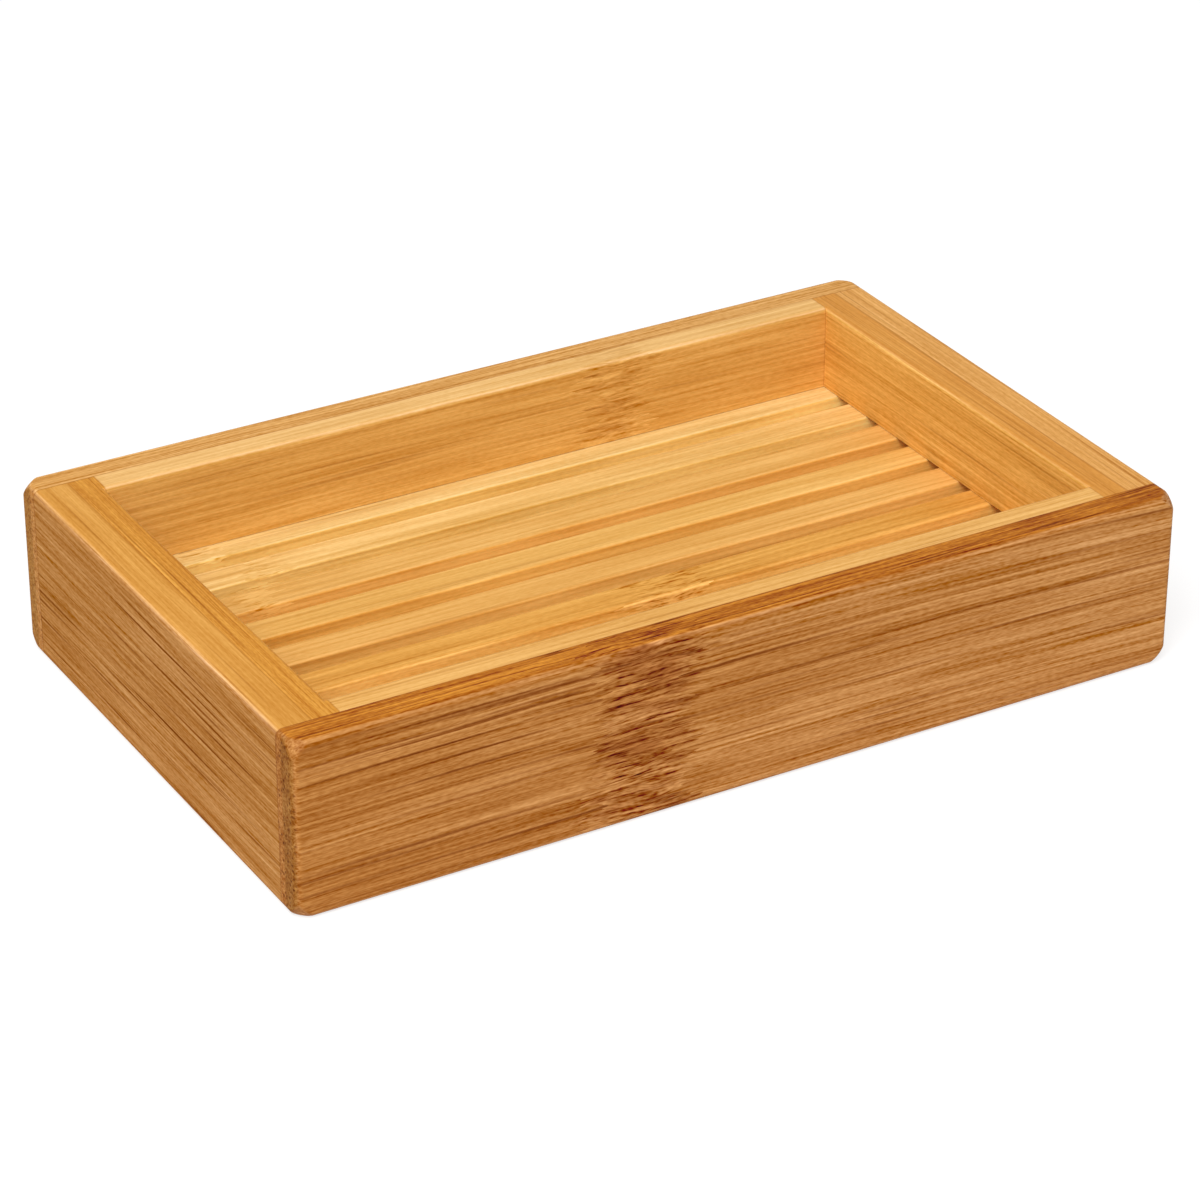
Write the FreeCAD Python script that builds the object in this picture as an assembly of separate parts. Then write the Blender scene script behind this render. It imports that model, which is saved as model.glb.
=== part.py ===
import FreeCAD, Part
import math
import os

# Bamboo soap dish: a low frame of four two-ply rails round a floor of slats.
# Millimetres. X runs along the long rails, Y from front to back and Z up.
# The origin is the middle of the footprint, on the surface the dish stands on.

# Overall size
LENGTH = 130.0
WIDTH = 80.0
HEIGHT = 25.0

# Plies, glued face to face to make each rail
LONG_OUTER_PLY = 4.3
LONG_INNER_PLY = 3.8
SIDE_OUTER_PLY = 4.9
SIDE_INNER_PLY = 3.8

# Edges and corners sanded after the frame is glued up
OUTER_ARRIS = 1.0
WELL_ARRIS = 0.7
CORNER_BALL = 5.0
BALL_CLEARANCE = 0.15
CORNER_EASE = 0.5

# Floor slats and the groove that houses them
SLAT_COUNT = 9
SLAT_WIDTH = 5.0
SLAT_THICKNESS = 5.0
SLAT_ARRIS = 0.4
WELL_DEPTH = 12.5
END_HOUSING = 2.5
EDGE_HOUSING = 1.5
GLUE_GAP = 0.1

# Sizes that follow from those above
LONG_RAIL = LONG_OUTER_PLY + LONG_INNER_PLY
SIDE_RAIL = SIDE_OUTER_PLY + SIDE_INNER_PLY
WELL_LENGTH = LENGTH - 2 * SIDE_RAIL
WELL_WIDTH = WIDTH - 2 * LONG_RAIL
SIDE_RAIL_LENGTH = WIDTH - 2 * LONG_OUTER_PLY
SLAT_LENGTH = WELL_LENGTH + 2 * END_HOUSING
FLOOR_WIDTH = WELL_WIDTH + 2 * EDGE_HOUSING
SLAT_PITCH = (FLOOR_WIDTH - SLAT_WIDTH) / (SLAT_COUNT - 1)
SLAT_BOTTOM = HEIGHT - WELL_DEPTH - SLAT_THICKNESS
GROOVE_HEIGHT = SLAT_THICKNESS + GLUE_GAP

# How closely an edge's place has to agree when it is looked up
FINE = 1e-6


def block(x_size, y_size, z_size, x_middle=0.0, y_middle=0.0, z_bottom=0.0):
    """A box centred on x_middle and y_middle that stands on z_bottom."""
    corner = FreeCAD.Vector(x_middle - x_size / 2, y_middle - y_size / 2, z_bottom)
    return Part.makeBox(x_size, y_size, z_size, corner)


def rounded_block(x_size, y_size, z_size, z_bottom, radius):
    """A box on the Z axis with all twelve edges rounded over and ball corners."""
    body = block(x_size, y_size, z_size, z_bottom=z_bottom)
    return body.makeFillet(radius, body.Edges)


def corner_ball_block():
    """A larger block whose ball corners take the points off the dish's eight corners.

    It stands clear of the flat sides and of the rounded arrises by a small clearance.
    """
    margin = (1 - math.sqrt(0.5)) * (CORNER_BALL - OUTER_ARRIS) + BALL_CLEARANCE
    grown = [size + 2 * margin for size in (LENGTH, WIDTH, HEIGHT)]
    return rounded_block(*grown, z_bottom=-margin, radius=CORNER_BALL)


def ball_edges(shape):
    """The edges round the ball-shaped patches that the knocked-off corners leave."""
    patches = [face for face in shape.Faces if isinstance(face.Surface, Part.Sphere)]
    return [edge for patch in patches for edge in patch.Edges]


def level_edges(shape, height, reach_x, reach_y):
    """The edges that lie level at a height, within a reach of the middle in X and Y."""
    found = []
    for edge in shape.Edges:
        box = edge.BoundBox
        level = abs(box.ZMin - height) < FINE and abs(box.ZMax - height) < FINE
        inside_x = -reach_x - FINE < box.XMin and box.XMax < reach_x + FINE
        inside_y = -reach_y - FINE < box.YMin and box.YMax < reach_y + FINE
        if level and inside_x and inside_y:
            found.append(edge)
    return found


def sanded_frame():
    """The whole frame as one ring, with its arrises rounded and its corners knocked off."""
    body = rounded_block(LENGTH, WIDTH, HEIGHT, z_bottom=0.0, radius=OUTER_ARRIS)
    body = body.common(corner_ball_block())
    body = body.makeFillet(CORNER_EASE, ball_edges(body))
    ring = body.cut(block(WELL_LENGTH, WELL_WIDTH, HEIGHT))
    mouth = level_edges(ring, HEIGHT, WELL_LENGTH / 2, WELL_WIDTH / 2)
    foot = level_edges(ring, 0.0, WELL_LENGTH / 2, WELL_WIDTH / 2)
    return ring.makeFillet(WELL_ARRIS, mouth + foot)


def slat_groove(long_rails):
    """The groove milled along the inner plies, right through from end to end."""
    if long_rails:
        depth = EDGE_HOUSING + GLUE_GAP
        return block(WELL_LENGTH, WELL_WIDTH + 2 * depth, GROOVE_HEIGHT, z_bottom=SLAT_BOTTOM)
    depth = END_HOUSING + GLUE_GAP
    return block(WELL_LENGTH + 2 * depth, SIDE_RAIL_LENGTH, GROOVE_HEIGHT, z_bottom=SLAT_BOTTOM)


def long_plies(ring, side):
    """The outer and inner ply of the front rail (side -1) or the back rail (side 1).

    The outer ply runs the full length and covers the ends of the side rails.
    The inner ply stops at the side rails, which makes the corner's rebate.
    """
    outer_middle = side * (WIDTH - LONG_OUTER_PLY) / 2
    inner_middle = side * (WELL_WIDTH + LONG_INNER_PLY) / 2
    outer = ring.common(block(LENGTH, LONG_OUTER_PLY, HEIGHT, y_middle=outer_middle))
    inner = ring.common(block(WELL_LENGTH, LONG_INNER_PLY, HEIGHT, y_middle=inner_middle))
    return outer, inner.cut(slat_groove(True))


def side_plies(ring, side):
    """The outer and inner ply of the left rail (side -1) or the right rail (side 1).

    Both plies fit between the outer plies of the long rails.
    """
    outer_middle = side * (LENGTH - SIDE_OUTER_PLY) / 2
    inner_middle = side * (WELL_LENGTH + SIDE_INNER_PLY) / 2
    outer = ring.common(block(SIDE_OUTER_PLY, SIDE_RAIL_LENGTH, HEIGHT, x_middle=outer_middle))
    inner = ring.common(block(SIDE_INNER_PLY, SIDE_RAIL_LENGTH, HEIGHT, x_middle=inner_middle))
    return outer, inner.cut(slat_groove(False))


def slat(index):
    """One floor slat, counted from the front, with its two upper long edges eased."""
    middle = (index - (SLAT_COUNT - 1) / 2) * SLAT_PITCH
    bar = block(SLAT_LENGTH, SLAT_WIDTH, SLAT_THICKNESS, y_middle=middle, z_bottom=SLAT_BOTTOM)
    upper = level_edges(bar, SLAT_BOTTOM + SLAT_THICKNESS, SLAT_LENGTH, WIDTH)
    return bar.makeFillet(SLAT_ARRIS, [edge for edge in upper if edge.BoundBox.YLength < FINE])


def dish():
    """Every piece of the dish by its name."""
    ring = sanded_frame()
    pieces = {}
    for name, side in (("front", -1), ("back", 1)):
        pieces[name + "_outer_ply"], pieces[name + "_inner_ply"] = long_plies(ring, side)
    for name, side in (("left", -1), ("right", 1)):
        pieces[name + "_outer_ply"], pieces[name + "_inner_ply"] = side_plies(ring, side)
    for index in range(SLAT_COUNT):
        pieces["slat_%d" % (index + 1)] = slat(index)
    return pieces


os.makedirs("parts", exist_ok=True)
for name, shape in dish().items():
    shape.exportStep("parts/%s.step" % name)
    print(name, "solids", len(shape.Solids), "valid", shape.isValid(), "mm3", round(shape.Volume, 1))
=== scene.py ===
import math
from types import SimpleNamespace

import bpy
from mathutils import Matrix, Vector


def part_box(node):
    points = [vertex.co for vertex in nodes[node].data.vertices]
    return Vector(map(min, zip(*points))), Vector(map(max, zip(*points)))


# Bamboo soap dish, seen from above its front left corner, on a white ground.
# Lengths are metres, but millimetres in the bamboo's pattern and in the strips' finishes.

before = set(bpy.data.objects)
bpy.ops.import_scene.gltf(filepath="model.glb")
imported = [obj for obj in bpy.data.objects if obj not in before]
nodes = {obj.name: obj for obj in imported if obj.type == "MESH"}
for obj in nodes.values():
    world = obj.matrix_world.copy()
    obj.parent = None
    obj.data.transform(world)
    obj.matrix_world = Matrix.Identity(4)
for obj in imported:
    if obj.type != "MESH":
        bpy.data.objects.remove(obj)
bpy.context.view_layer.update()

# Places on the dish in millimetres, from the frame; the dish is the same on both sides of its middle
MM = 1000.0
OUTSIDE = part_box("back_outer_ply")[1].y * MM
LONG_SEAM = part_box("back_outer_ply")[0].y * MM
SIDE_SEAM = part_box("right_outer_ply")[0].x * MM
WELL_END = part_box("back_inner_ply")[1].x * MM
SLAT_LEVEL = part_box("slat_1")[1].z * MM

# A place well away from the dish, for a strip without a knuckle, a glue line or painted shade below a
# slat's upper edge
AWAY = 900.0

# The bamboo's patterns: their sizes along, across and up, and shifts that keep them apart
PATTERNS = {
    "ragged": ((14.0, 0.8, 0.6), (0.3, 5.1, 2.7)),
    "swelling": ((24.0, 9.0, 9.0), (4.3, 1.1, 7.7)),
    "stain": ((9.0, 3.4, 2.8), (9.1, 4.4, 0.6)),
    "slow_drift": ((95.0, 14.0, 14.0), (0.0, 0.0, 0.0)),
    "quick_drift": ((20.0, 3.5, 3.5), (6.1, 2.7, 4.9)),
    "crook": ((7.0, 2.6, 2.6), (3.1, 0.7, 1.9)),
    "bundles": ((120.0, 0.95, 0.95), (0.0, 0.0, 0.0)),
    "small_bundles": ((80.0, 0.75, 0.75), (7.3, 3.1, 9.7)),
    "bands": ((150.0, 2.4, 2.4), (5.5, 2.1, 8.8)),
    "streaks": ((42.0, 0.40, 0.40), (4.1, 7.9, 3.3)),
    "fibre": ((16.0, 0.14, 0.14), (2.2, 6.4, 1.3)),
    "pores": ((0.9, 0.2, 0.2), (1.7, 8.3, 4.9)),
    "cloud": ((26.0, 5.0, 5.0), (3.7, 0.9, 6.2)),
}
DETAILED = {"ragged", "stain", "bands", "streaks", "fibre", "cloud"}
NOISE_ROUGHNESS = 0.55

# What a change of tone does to red, green and blue
FIBRE_TINT = (0.65, 1.05, 1.9)
CLOUD_TINT = (0.6, 1.0, 1.9)
# The arrises' tint whitens them, most in blue: partly wear, partly a painted highlight
WEAR_AND_HIGHLIGHT_TINT = (0.4, 0.8, 2.8)

# Colours that darken the wood, and a painted shade for the upper edge of the slats' walls
BUNDLE = (0.48, 0.29, 0.10, 1.0)
STAIN = (0.68, 0.52, 0.40, 1.0)
# Painted shade on the upper edge of the slats' walls
PAINTED_BROW_SHADE = (0.86, 0.76, 0.62, 1.0)
SKIN_END = (0.75, 0.74, 0.58, 1.0)
HEART_END = (0.98, 0.96, 0.92, 1.0)
END_DOT = (0.42, 0.34, 0.28, 1.0)
GLUE = (0.60, 0.44, 0.28, 1.0)


# Small helpers for node trees

def add(tree, kind, inputs=None, **settings):
    """A shader node of a kind, with settings, and with inputs set to values or wired to outputs."""
    made = tree.nodes.new("ShaderNode" + kind)
    for name, value in settings.items():
        setattr(made, name, value)
    for key, value in (inputs or {}).items():
        if isinstance(value, bpy.types.NodeSocket):
            tree.links.new(value, made.inputs[key])
        else:
            made.inputs[key].default_value = value
    return made


def calc(tree, operation, *values):
    """The output of a Math node that works on values or outputs."""
    return add(tree, "Math", dict(enumerate(values)), operation=operation).outputs[0]


def times(tree, product, *factors):
    """The product of values or outputs."""
    for factor in factors:
        product = calc(tree, "MULTIPLY", product, factor)
    return product


def weighted(tree, total, *terms):
    """A start with values added to it, each times its weight."""
    for value, weight in terms:
        total = calc(tree, "MULTIPLY_ADD", value, weight, total)
    return total


def swing(tree, value):
    """Noise, which lies about 0.5, moved to lie about zero."""
    return calc(tree, "SUBTRACT", value, 0.5)


def apart(tree, first, second):
    """How far apart two values are."""
    return calc(tree, "ABSOLUTE", calc(tree, "SUBTRACT", first, second))


def ramp(tree, value, low, high, out_low=0.0, out_high=1.0):
    """A soft step: out_low up to low, out_high from high on, and smooth between them."""
    inputs = {"Value": value, "From Min": low, "From Max": high, "To Min": out_low, "To Max": out_high}
    return add(tree, "MapRange", inputs, interpolation_type="SMOOTHSTEP").outputs[0]


def fade(tree, value, full, gone):
    """A soft step down: 1 up to full, 0 from gone on, and smooth between them."""
    return ramp(tree, value, full, gone, 1.0, 0.0)


def vector_calc(tree, operation, *values):
    """The output of a Vector Math node that works on values or outputs."""
    return add(tree, "VectorMath", dict(enumerate(values)), operation=operation).outputs[0]


def scaled(tree, vector, factor):
    """A vector times one factor."""
    return add(tree, "VectorMath", {0: vector, "Scale": factor}, operation="SCALE").outputs[0]


def blend(tree, factor, first, second, kind="MIX"):
    """A colour mixed from two by a factor."""
    inputs = {0: factor, 6: first, 7: second}
    return add(tree, "Mix", inputs, data_type="RGBA", blend_type=kind).outputs[2]


def darken(tree, colour, mask, paint):
    """A colour multiplied by paint where the mask is 1."""
    return blend(tree, mask, colour, paint, "MULTIPLY")


def tint(tree, colour, change, by):
    """A colour made lighter or darker by a change, scaled for red, green and blue."""
    factors = vector_calc(tree, "ADD", scaled(tree, by, change), (1.0, 1.0, 1.0))
    return blend(tree, 1.0, colour, factors, "MULTIPLY")


def stretch(tree, vector, pattern):
    """A place in millimetres turned into a place in a pattern, counted in the pattern's sizes."""
    sizes, shift = PATTERNS[pattern]
    return vector_calc(tree, "MULTIPLY_ADD", vector, tuple(1.0 / size for size in sizes), shift)


def noise(tree, vector, pattern, output="Fac"):
    """Smooth noise about 0.5 in the sizes of a pattern, as a value or as three values in a Color."""
    inputs = {"Vector": stretch(tree, vector, pattern), "Scale": 1.0,
              "Detail": float(pattern in DETAILED), "Roughness": NOISE_ROUGHNESS}
    return add(tree, "TexNoise", inputs).outputs[output]


# Fibre bundles, in sizes of their cells, and the strength of the weakest
STRAND_CORE, STRAND_RIM = 0.05, 0.34
WEAKEST_STRAND = 0.25


def strands(tree, vector, pattern):
    """Long tapered fibre bundles: a cell pattern whose cells are drawn out along the fibre.

    A bundle is dark within the core round its middle line and fades out at the rim.
    Each bundle has a strength of its own.
    """
    cells = add(tree, "TexVoronoi", {"Vector": stretch(tree, vector, pattern), "Scale": 1.0})
    body = fade(tree, cells.outputs["Distance"], STRAND_CORE, STRAND_RIM)
    chance = add(tree, "SeparateColor", {0: cells.outputs["Color"]}).outputs[0]
    return times(tree, body, ramp(tree, chance, 0.0, 1.0, WEAKEST_STRAND, 1.0))


# The bamboo group's inputs and what they are for a strip that does not set them
INPUTS = (
    ("Place", "Vector", (0, 0, 0)),  # in millimetres, X along the fibres
    ("Facing", "Vector", (0, 0, 1)),  # the surface's normal, turned like the place
    ("Seed", "Float", 0.0),  # moves the pattern, so that no two strips are alike
    ("Top", "Color", (1, 1, 1, 1)),  # colour of faces that look up or down
    ("Side", "Color", (1, 1, 1, 1)),  # colour of the other faces
    ("Turn", "Float", 0.45),  # upward part of the normal at which the top's colour begins
    ("Contrast", "Float", 1.0),  # strength of fibres and bundles
    ("Top grain", "Float", 1.0),  # the same on the top, as a factor
    ("Streak", "Float", 1.0),  # strength of the streaks alone, as a factor
    ("Short", "Float", 1.0),  # how many times shorter the fibres are
    ("Fine", "Float", 1.0),  # how many times finer the fibres are
    ("Lean", "Float", 0.0),  # change of tone for each millimetre along
    ("Knuckle", "Float", AWAY),  # the knuckle's place along
    ("Reach", "Float", 6.0),  # how far the knuckle reaches to either side
    ("Bow", "Float", 0.0),  # rise of the fibres at one bow length from the knuckle
    ("Crumble", "Float", 0.0),  # how much deeper the knuckle's dark dashes are
    # The next input pales the arrises: partly wear, partly a painted highlight
    ("Worn", "Float", 0.25),  # how much paler the arrises are
    ("Skin", "Float", 0.0),  # place across of the cane's dense skin
    # The next input places the painted shade below a slat's upper edge
    ("Brow", "Float", AWAY),  # height of the upper edge of a slat's wall
    ("Seam", "Float", AWAY),  # place across of the glue line
    ("End seam", "Float", AWAY),  # place along of the glue lines at both ends
)
OUTPUTS = (("Colour", "Color"), ("Roughness", "Float"), ("Height", "Float"))


def group_inputs(tree):
    """Gives a group its sockets and hands back what comes in through them."""
    for name, kind, value in INPUTS:
        made = tree.interface.new_socket(name, in_out="INPUT", socket_type="NodeSocket" + kind)
        made.default_value = value
    for name, kind in OUTPUTS:
        tree.interface.new_socket(name, in_out="OUTPUT", socket_type="NodeSocket" + kind)
    return tree.nodes.new("NodeGroupInput").outputs


# The knuckle's sides: how far they step and wander, and where its zones fade, from the side outwards
KNUCKLE_STEPS = 14.0
KNUCKLE_WANDER = 6.0
KNUCKLE_TONE = (-3.5, 2.0)
KNUCKLE_NEARBY = (-1.0, 8.0)


def knuckle_masks(tree, given, along):
    """The knuckle: a zone whose sides step from fibre to fibre, and softer zones round it."""
    steps = swing(tree, noise(tree, given["Place"], "ragged"))
    wander = swing(tree, noise(tree, given["Place"], "swelling"))
    side = calc(tree, "SUBTRACT", apart(tree, along, given["Knuckle"]), given["Reach"])
    side = weighted(tree, side, (steps, KNUCKLE_STEPS), (wander, KNUCKLE_WANDER))
    return SimpleNamespace(
        inside=calc(tree, "LESS_THAN", side, 0.0),
        tone=fade(tree, side, *KNUCKLE_TONE),
        nearby=fade(tree, side, *KNUCKLE_NEARBY))


# The fibres' course: how far they drift sideways, the bow's length and the step from seed to seed
SLOW_DRIFT = 1.2
QUICK_DRIFT = 0.30
CROOK_DRIFT = 0.8
BOW_LENGTH = 50.0
SEED_STEP = 13.7
SEED_STEP_ACROSS = 1.9

# Inside the knuckle the fibres come from elsewhere in the pattern, and they are shorter
KNUCKLE_JUMP = (900.0, 41.3, 57.7)
KNUCKLE_SHORTER = 5.0


def drift(tree, space, pattern, amount):
    """A sideways drift of the fibres, at most half of amount either way."""
    by = vector_calc(tree, "SUBTRACT", noise(tree, space, pattern, "Color"), (0.5, 0.5, 0.5))
    return vector_calc(tree, "MULTIPLY", by, (0.0, amount, amount))


def fibre_space(tree, given, place, knuckle):
    """The fibres' own space: bowed, wandering, and more crooked near the knuckle.

    It comes back twice, as it is and with the fibres made shorter and finer.
    """
    along, across, height = place
    bow = calc(tree, "DIVIDE", calc(tree, "SUBTRACT", along, given["Knuckle"]), BOW_LENGTH)
    bow = times(tree, bow, bow, given["Bow"])
    seed = times(tree, given["Seed"], SEED_STEP)
    moved_across = weighted(tree, across, (seed, SEED_STEP_ACROSS))
    moved_height = calc(tree, "ADD", calc(tree, "ADD", height, bow), seed)
    space = add(tree, "CombineXYZ", {0: along, 1: moved_across, 2: moved_height}).outputs[0]
    moves = (drift(tree, space, "slow_drift", SLOW_DRIFT),
             drift(tree, space, "quick_drift", QUICK_DRIFT),
             scaled(tree, drift(tree, space, "crook", CROOK_DRIFT), knuckle.nearby),
             scaled(tree, KNUCKLE_JUMP, knuckle.inside))
    for move in moves:
        space = vector_calc(tree, "ADD", space, move)
    shorter = weighted(tree, given["Short"], (knuckle.inside, KNUCKLE_SHORTER))
    squeeze = add(tree, "CombineXYZ", {0: shorter, 1: given["Fine"], 2: given["Fine"]}).outputs[0]
    return space, vector_calc(tree, "MULTIPLY", space, squeeze)


def wood_patterns(tree, space, drawn):
    """Bundles, bands, streaks, fine fibres, pores and a slow cloud of tone."""
    large, small = strands(tree, drawn, "bundles"), strands(tree, drawn, "small_bundles")
    return SimpleNamespace(
        lines=calc(tree, "MAXIMUM", large, small),
        bands=noise(tree, drawn, "bands"),
        streaks=noise(tree, drawn, "streaks"),
        fibre=noise(tree, drawn, "fibre"),
        pores=noise(tree, space, "pores"),
        cloud=noise(tree, space, "cloud"))


# Parts of the normal between which a face becomes a top, a wall, an end or a flat
TOP_SPAN = 0.4
WALL = (0.6, 0.95)
END = (0.5, 0.9)
FLAT = (0.74, 0.97)


def facing_masks(tree, given):
    """Which faces are tops, walls, ends of the fibres or rounded arrises."""
    facing = vector_calc(tree, "ABSOLUTE", given["Facing"])
    ahead, aside, upward = add(tree, "SeparateXYZ", {0: facing}).outputs
    all_top = calc(tree, "MINIMUM", calc(tree, "ADD", given["Turn"], TOP_SPAN), 1.0)
    greatest = calc(tree, "MAXIMUM", calc(tree, "MAXIMUM", ahead, aside), upward)
    return SimpleNamespace(
        top=ramp(tree, upward, given["Turn"], all_top),
        wall=ramp(tree, aside, *WALL),
        end=ramp(tree, ahead, *END),
        arris=fade(tree, greatest, *FLAT))


# Strengths of the tones, and how those of bands and stains grow with a strip's contrast
CONTRASTS = (0.2, 1.0)
BAND_EDGES = (0.3, 0.7)
BAND_STRENGTHS = (0.06, 0.2)
CLOUD_STRENGTH = 0.3
STREAK_STRENGTH = 1.9
FIBRE_STRENGTH = 0.8
PORE_STRENGTH = 0.7
STAIN_EDGES = (0.36, 0.66, 0.3, 1.0)
STAIN_STRENGTHS = (0.2, 1.0)

# What the knuckle adds to the contrast, by itself and for each unit of it, and what a top takes away
KNUCKLE_GAIN = 0.3
KNUCKLE_GAIN_SHARE = 0.5
KNUCKLE_TOP_LOSS = -0.65

# On the top the tone leans the other way
TOP_LEAN = -2.0


def face_colour(tree, given, along, knuckle, wood, faces):
    """Colour of the long faces: bands, slow tone, fibres, bundles and the knuckle's stain."""
    contrast = given["Contrast"]
    grain = add(tree, "Mix", {0: faces.top, 2: 1.0, 3: given["Top grain"]}, data_type="FLOAT").outputs[0]
    colour = blend(tree, faces.top, given["Side"], given["Top"])

    bands = swing(tree, ramp(tree, wood.bands, *BAND_EDGES))
    bands = times(tree, bands, ramp(tree, contrast, *CONTRASTS, *BAND_STRENGTHS))
    bands = times(tree, bands, calc(tree, "MINIMUM", grain, 1.0))
    colour = tint(tree, colour, bands, FIBRE_TINT)

    lean = times(tree, given["Lean"], weighted(tree, 1.0, (faces.top, TOP_LEAN)))
    cloud = weighted(tree, 0.0, (swing(tree, wood.cloud), CLOUD_STRENGTH), (along, lean))
    colour = tint(tree, colour, cloud, CLOUD_TINT)

    beside = weighted(tree, 1.0, (faces.top, KNUCKLE_TOP_LOSS))
    gain = weighted(tree, KNUCKLE_GAIN, (contrast, KNUCKLE_GAIN_SHARE))
    raised = weighted(tree, contrast, (times(tree, knuckle.tone, beside), gain))
    shade = weighted(tree, 0.0,
                     (swing(tree, wood.streaks), STREAK_STRENGTH),
                     (swing(tree, wood.fibre), FIBRE_STRENGTH),
                     (swing(tree, wood.pores), PORE_STRENGTH))
    shade = times(tree, shade, given["Streak"], times(tree, raised, grain))
    crumbs = times(tree, knuckle.tone, given["Crumble"])
    shade = weighted(tree, shade, (calc(tree, "MINIMUM", shade, 0.0), crumbs))
    colour = tint(tree, colour, shade, FIBRE_TINT)
    colour = darken(tree, colour, times(tree, contrast, grain, wood.lines), BUNDLE)

    stain = ramp(tree, noise(tree, given["Place"], "stain"), *STAIN_EDGES)
    stain = times(tree, stain, knuckle.tone, ramp(tree, contrast, *CONTRASTS, *STAIN_STRENGTHS), beside)
    return darken(tree, colour, stain, STAIN)


# The painted shade below a slat's upper edge: depths below the edge between which it fades, and its
# patches
BROW_SHADE_DEPTHS = (0.3, 1.2)
BROW_SHADE_PATCHES = (0.35, 0.65, 1.0, 0.3)


def paint_slat_brow_shade(tree, given, height, wood, faces, colour):
    """Paints shade on the upper edge of a slat's wall, in patches."""
    depth = calc(tree, "SUBTRACT", given["Brow"], height)
    patches = ramp(tree, wood.cloud, *BROW_SHADE_PATCHES)
    return darken(tree, colour, times(tree, fade(tree, depth, *BROW_SHADE_DEPTHS), faces.wall, patches), PAINTED_BROW_SHADE)


# End grain: depths at which the dense skin passes into the heart, and the strength of the dots
SKIN_DEPTHS = (2.7, 3.3)
DOT_STRENGTH = 1.2


def end_grain(tree, given, across, wood, faces, colour):
    """Dots the ends of the fibres, on wood that is darker towards the skin."""
    depth = apart(tree, across, given["Skin"])
    dense = blend(tree, ramp(tree, depth, *SKIN_DEPTHS), SKIN_END, HEART_END)
    dots = blend(tree, times(tree, wood.lines, DOT_STRENGTH), dense, END_DOT)
    return darken(tree, colour, faces.end, dots)


# Arrises wear and carry a painted highlight fibre by fibre, and glue lines fade over a fraction of a
# millimetre
WEAR_AND_HIGHLIGHT_FIBRES = (0.25, 0.6, 0.4, 1.0)
GLUE_EDGES = (0.03, 0.22, 0.5, 0.0)


def worn_and_highlit_arrises(tree, given, wood, faces, colour):
    """Pales the rounded arrises, partly as wear and partly as a painted highlight, and hands back their
    mask as well.
    """
    mask = times(tree, faces.arris, ramp(tree, wood.fibre, *WEAR_AND_HIGHLIGHT_FIBRES))
    return tint(tree, colour, times(tree, mask, given["Worn"]), WEAR_AND_HIGHLIGHT_TINT), mask


def glue_lines(tree, given, along, across, colour):
    """Darkens the glue lines beside a strip and at its ends, and hands back their mask as well."""
    beside = apart(tree, across, given["Seam"])
    at_end = calc(tree, "SUBTRACT", given["End seam"], calc(tree, "ABSOLUTE", along))
    mask = ramp(tree, calc(tree, "MINIMUM", beside, at_end), *GLUE_EDGES)
    return darken(tree, colour, mask, GLUE), mask


# Roughness of plain wood and what bundles, fibres, end grain and arrises add to it
PLAIN_ROUGH = 0.44
LINE_ROUGH = 0.12
FIBRE_ROUGH = 0.12
END_ROUGH = 0.14
ARRIS_ROUGH = -0.08

# How bundles and glue lines sink into the relief of fibres and streaks
LINE_RELIEF = -0.6
GLUE_RELIEF = -0.7


def bamboo_group():
    """Bamboo cut in any direction, from a place and a normal whose X runs along the fibres.

    Fibre bundles are solid, so they are lines on long faces and dots on end grain.
    At the knuckle the bundles break off, shift, shorten and darken.
    """
    tree = bpy.data.node_groups.new("bamboo", "ShaderNodeTree")
    given = group_inputs(tree)
    place = add(tree, "SeparateXYZ", {0: given["Place"]}).outputs
    along, across, height = place
    knuckle = knuckle_masks(tree, given, along)
    space, drawn = fibre_space(tree, given, place, knuckle)
    wood = wood_patterns(tree, space, drawn)
    faces = facing_masks(tree, given)

    colour = face_colour(tree, given, along, knuckle, wood, faces)
    colour = paint_slat_brow_shade(tree, given, height, wood, faces, colour)
    colour = end_grain(tree, given, across, wood, faces, colour)
    colour, arris = worn_and_highlit_arrises(tree, given, wood, faces, colour)
    colour, glue = glue_lines(tree, given, along, across, colour)

    rough = weighted(tree, PLAIN_ROUGH, (wood.lines, LINE_ROUGH), (wood.fibre, FIBRE_ROUGH),
                     (faces.end, END_ROUGH), (arris, ARRIS_ROUGH))
    relief = calc(tree, "ADD", wood.fibre, wood.streaks)
    relief = weighted(tree, relief, (wood.lines, LINE_RELIEF), (glue, GLUE_RELIEF))
    result = tree.nodes.new("NodeGroupOutput").inputs
    for name, value in (("Colour", colour), ("Roughness", rough), ("Height", relief)):
        tree.links.new(value, result[name])
    return tree


# Finishes of the strips

BAMBOO = bamboo_group()
SATIN_GLOSS = 0.05
BUMP_STRENGTH = 0.5
BUMP_DEPTH = 0.00005


def rgb(red, green, blue):
    """A colour given as it shows on a screen, 0 to 255, turned into linear light."""
    parts = [part / 255.0 for part in (red, green, blue)]
    return tuple(p / 12.92 if p <= 0.04045 else ((p + 0.055) / 1.055) ** 2.4 for p in parts) + (1.0,)


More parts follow.
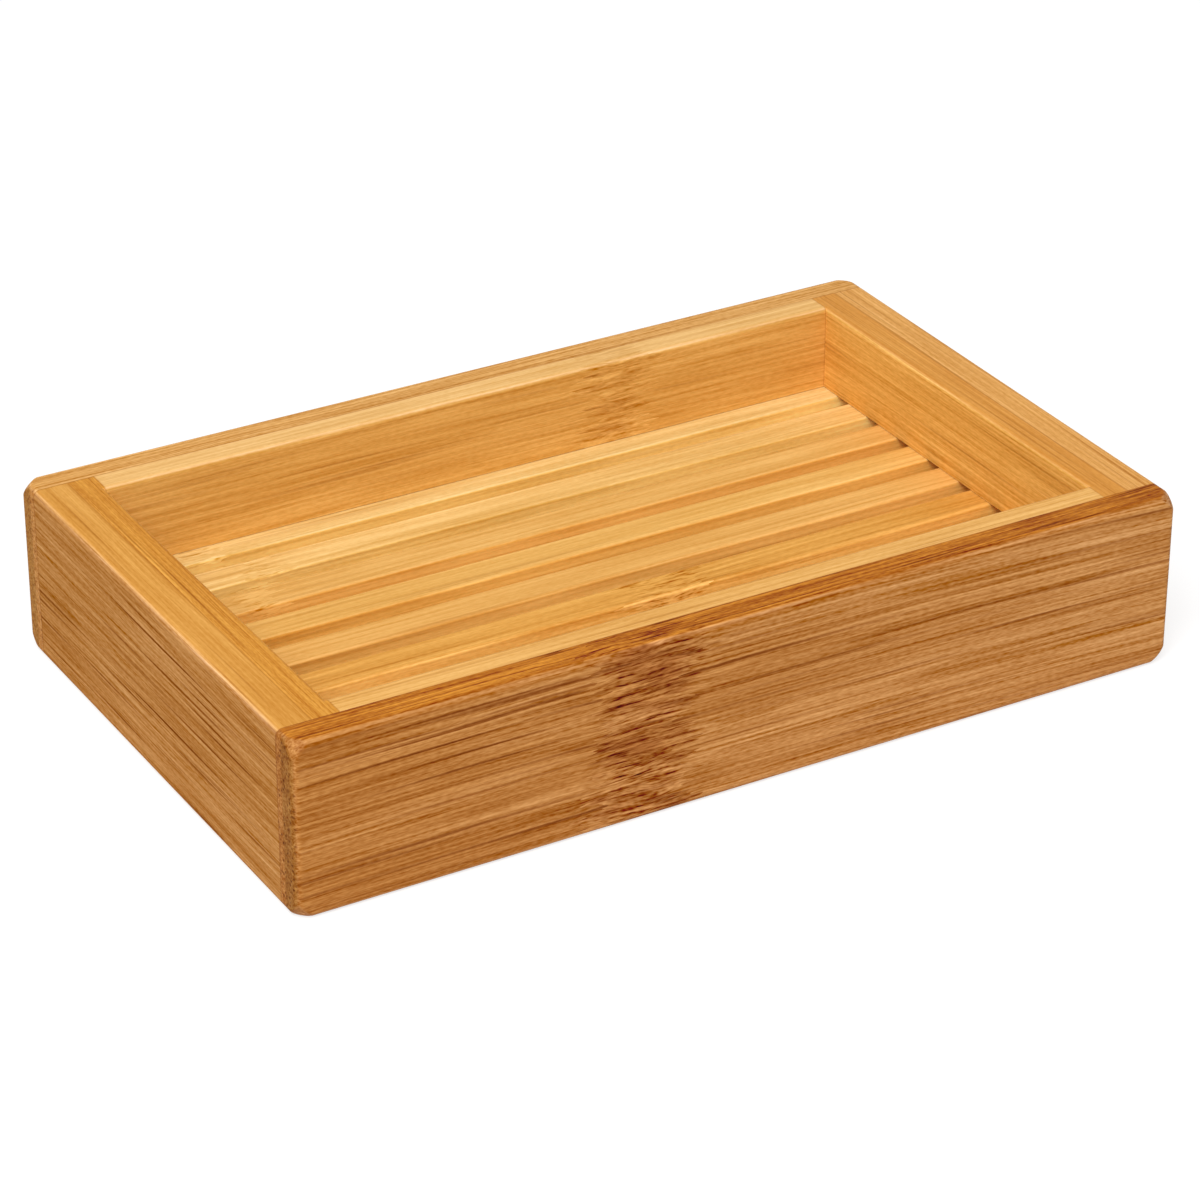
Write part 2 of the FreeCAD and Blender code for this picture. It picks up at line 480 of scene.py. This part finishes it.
def bamboo(name, sideways=False, gloss=SATIN_GLOSS, **values):
    """A satin bamboo finish for one strip, with fibres along X, or along Y if it lies sideways.

    The values are those of the bamboo group's inputs, by their names.
    """
    made = bpy.data.materials.new(name)
    made.use_nodes = True
    tree = made.node_tree
    turn = (0.0, 0.0, -math.pi / 2 if sideways else 0.0)
    here = add(tree, "TexCoord").outputs
    place = add(tree, "Mapping", {"Vector": here["Object"], "Rotation": turn, "Scale": (MM,) * 3})
    facing = add(tree, "Mapping", {"Vector": here["Normal"], "Rotation": turn}, vector_type="VECTOR")
    strip = add(tree, "Group", node_tree=BAMBOO)
    tree.links.new(place.outputs[0], strip.inputs["Place"])
    tree.links.new(facing.outputs[0], strip.inputs["Facing"])
    for key, value in values.items():
        strip.inputs[key.replace("_", " ").capitalize()].default_value = value
    relief = {"Height": strip.outputs["Height"], "Strength": BUMP_STRENGTH, "Distance": BUMP_DEPTH}
    bump = add(tree, "Bump", relief)
    shader = tree.nodes["Principled BSDF"].inputs
    shader["Specular IOR Level"].default_value = gloss
    tree.links.new(strip.outputs["Colour"], shader["Base Color"])
    tree.links.new(strip.outputs["Roughness"], shader["Roughness"])
    tree.links.new(bump.outputs[0], shader["Normal"])
    return made


def dress(node, material):
    """Puts a finish on a CAD node."""
    mesh = nodes[node].data
    mesh.materials.clear()
    mesh.materials.append(material)


# Glue lines of the plies; across a side rail, whose fibres run along Y, places count as minus X
FRONT = dict(seam=-LONG_SEAM)
BACK = dict(seam=LONG_SEAM)
LEFT = dict(sideways=True, seam=SIDE_SEAM, end_seam=LONG_SEAM)
RIGHT = dict(sideways=True, seam=-SIDE_SEAM, end_seam=LONG_SEAM)

PLIES = {
    "front_outer": dict(
        FRONT, top=rgb(178, 104, 26), side=rgb(184, 123, 63), turn=0.8, seed=1.0, contrast=1.05,
        top_grain=1.4, lean=0.0019, knuckle=-16.5, reach=7.0, bow=0.65, crumble=0.15, worn=0.12,
        skin=-OUTSIDE),
    "front_inner": dict(
        FRONT, top=rgb(229, 172, 94), side=rgb(226, 160, 80), seed=2.3, contrast=0.4, short=1.4,
        end_seam=WELL_END),
    "back_outer": dict(
        BACK, top=rgb(220, 162, 90), side=rgb(196, 136, 72), seed=3.1, contrast=0.75, top_grain=1.1,
        short=1.2, skin=OUTSIDE),
    "back_inner": dict(
        BACK, top=rgb(237, 186, 114), side=rgb(224, 170, 88), seed=4.7, contrast=0.45, top_grain=0.75,
        short=1.5, fine=0.8, knuckle=21.5, reach=4.5, end_seam=WELL_END),
    "left_outer": dict(
        LEFT, top=rgb(220, 157, 76), side=rgb(187, 129, 69), gloss=0.0, seed=5.6, contrast=1.3,
        top_grain=0.45, streak=0.6, short=2.0, fine=1.1, lean=-0.001, worn=0.5),
    "left_inner": dict(
        LEFT, top=rgb(212, 144, 55), side=rgb(225, 160, 75), seed=6.6, contrast=0.65, short=1.6,
        fine=1.1),
    "right_outer": dict(
        RIGHT, top=rgb(226, 165, 90), side=rgb(192, 128, 60), seed=7.9, contrast=0.5, short=1.5),
    "right_inner": dict(
        RIGHT, top=rgb(217, 149, 67), side=rgb(234, 177, 88), seed=8.4, contrast=0.5, top_grain=0.7,
        short=1.5),
}
for name, values in PLIES.items():
    dress(name + "_ply", bamboo(name + "_bamboo", **values))

# Slats from front to back: what all share, where their seeds start and step, and each one's own
ALL_SLATS = dict(contrast=0.33, short=1.4, fine=0.67, reach=2.5, crumble=1.3, worn=0.1, brow=SLAT_LEVEL)
FIRST_SLAT_SEED = 10.0
SLAT_SEED_STEP = 1.7
# Each slat's side colour is lighter than its top: painted light on the walls of the gaps between the
# slats
SLATS = (
    dict(top=rgb(231, 175, 92), side=rgb(250, 197, 104)),
    dict(top=rgb(231, 175, 92), side=rgb(250, 197, 104)),
    dict(top=rgb(228, 169, 86), side=rgb(250, 197, 104)),
    dict(top=rgb(224, 162, 76), side=rgb(250, 197, 104), contrast=0.46, knuckle=5.5, reach=5.5),
    dict(top=rgb(232, 175, 95), side=rgb(240, 186, 98)),
    dict(top=rgb(233, 179, 97), side=rgb(246, 188, 93)),
    dict(top=rgb(231, 177, 98), side=rgb(248, 190, 97), knuckle=-43.0),
    dict(top=rgb(238, 192, 116), side=rgb(255, 216, 126), knuckle=-39.0),
    dict(top=rgb(235, 198, 127), side=rgb(255, 214, 123), knuckle=-42.5),
)
for index, own in enumerate(SLATS):
    values = dict(ALL_SLATS, seed=FIRST_SLAT_SEED + SLAT_SEED_STEP * index, **own)
    dress("slat_%d" % (index + 1), bamboo("slat_bamboo_%d" % (index + 1), **values))


# Ground, light and camera

WHITE = (1.0, 1.0, 1.0, 1.0)

# The ground: its reach, how far it lies below the dish, and its greys as light and to look at
GROUND_REACH = 3.0
GROUND_LEVEL = -0.0001
BOUNCE_GREY = (0.8, 0.8, 0.8, 1.0)
SHADOW_GREY = (0.35, 0.35, 0.35, 1.0)
GROUND_GLOW = 0.72

# The surround as light, and the key light's place, size and power in watts
SURROUND_LIGHT = 0.42
KEY_PLACE = (-0.50, -0.60, 0.95)
KEY_SIZE = 0.7
KEY_POWER = 12.8

# The photograph's viewpoint, fitted to the dish's outline: degrees, metres and pixels
CAMERA_TURN = 30.145
CAMERA_RISE = 28.728
CAMERA_ROLL = 0.149
CAMERA_DISTANCE = 0.59546
CAMERA_RIGHT = 0.00044
CAMERA_UP = 0.0070
FOCAL_PIXELS = 4426.0
PHOTO_PIXELS = 1200.0

# The camera's sensor in millimetres, and the nearest thing it sees
SENSOR = 36.0
NEAREST = 0.01


def looked_at(tree):
    """A mask for what the camera sees straight, in a reflection or through something clear."""
    path = add(tree, "LightPath").outputs
    seen = calc(tree, "MAXIMUM", path["Is Camera Ray"], path["Is Glossy Ray"])
    return calc(tree, "MAXIMUM", seen, path["Is Transmission Ray"])


def mixed_shader(tree, factor, first, second):
    """A shader mixed from two by a factor."""
    return add(tree, "MixShader", {0: factor, 1: first, 2: second}).outputs[0]


def ground_finish():
    """White to the camera with the dish's shadow on it, and clear from beneath."""
    made = bpy.data.materials.new("ground")
    made.use_nodes = True
    tree = made.node_tree
    tree.nodes.clear()
    bounce = add(tree, "BsdfDiffuse", {"Color": BOUNCE_GREY}).outputs[0]
    shade = add(tree, "BsdfDiffuse", {"Color": SHADOW_GREY}).outputs[0]
    white = add(tree, "Emission", {"Color": WHITE, "Strength": GROUND_GLOW}).outputs[0]
    shown = add(tree, "AddShader", {0: shade, 1: white}).outputs[0]
    clear = add(tree, "BsdfTransparent").outputs[0]
    beneath = add(tree, "NewGeometry").outputs["Backfacing"]
    above = mixed_shader(tree, looked_at(tree), bounce, shown)
    add(tree, "OutputMaterial", {"Surface": mixed_shader(tree, beneath, above, clear)})
    return made


def ground():
    """A wide pale floor just under the dish."""
    mesh = bpy.data.meshes.new("ground")
    sides = ((-1, -1), (1, -1), (1, 1), (-1, 1))
    corners = [(x * GROUND_REACH, y * GROUND_REACH, GROUND_LEVEL) for x, y in sides]
    mesh.from_pydata(corners, [], [(0, 1, 2, 3)])
    mesh.materials.append(ground_finish())
    plane = bpy.data.objects.new("ground", mesh)
    bpy.context.scene.collection.objects.link(plane)


def sky():
    """An even white surround: white to look at, and a little softer as light."""
    world = bpy.data.worlds.new("surround")
    bpy.context.scene.world = world
    world.use_nodes = True
    tree = world.node_tree
    tree.nodes.clear()
    light = add(tree, "Background", {"Color": WHITE, "Strength": SURROUND_LIGHT}).outputs[0]
    white = add(tree, "Background", {"Color": WHITE, "Strength": 1.0}).outputs[0]
    add(tree, "OutputWorld", {"Surface": mixed_shader(tree, looked_at(tree), light, white)})


def softbox(name, place, size, power):
    """A square soft light that faces the dish."""
    lamp = bpy.data.lights.new(name, "AREA")
    lamp.size = size
    lamp.energy = power
    made = bpy.data.objects.new(name, lamp)
    facing = Vector(place).to_track_quat("Z", "Y").to_matrix().to_4x4()
    made.matrix_world = Matrix.Translation(place) @ facing
    bpy.context.scene.collection.objects.link(made)


def photo_camera():
    """The photograph's viewpoint, from its turn, height above the horizon, roll and distance."""
    turn, rise, roll = (math.radians(angle) for angle in (CAMERA_TURN, CAMERA_RISE, CAMERA_ROLL))
    ahead = Vector((math.sin(turn) * math.cos(rise), math.cos(turn) * math.cos(rise), -math.sin(rise)))
    level = Vector((math.cos(turn), -math.sin(turn), 0.0))
    upright = level.cross(ahead)
    place = -CAMERA_DISTANCE * ahead + CAMERA_RIGHT * level + CAMERA_UP * upright
    right = math.cos(roll) * level + math.sin(roll) * upright
    up = -math.sin(roll) * level + math.cos(roll) * upright
    lens = bpy.data.cameras.new("camera")
    lens.sensor_width = SENSOR
    lens.lens = SENSOR * FOCAL_PIXELS / PHOTO_PIXELS
    lens.clip_start = NEAREST
    made = bpy.data.objects.new("camera", lens)
    made.matrix_world = Matrix.Translation(place) @ Matrix((right, up, -ahead)).transposed().to_4x4()
    bpy.context.scene.collection.objects.link(made)
    bpy.context.scene.camera = made


ground()
sky()
softbox("key", KEY_PLACE, KEY_SIZE, KEY_POWER)
photo_camera()
bpy.context.scene.view_settings.view_transform = "Standard"
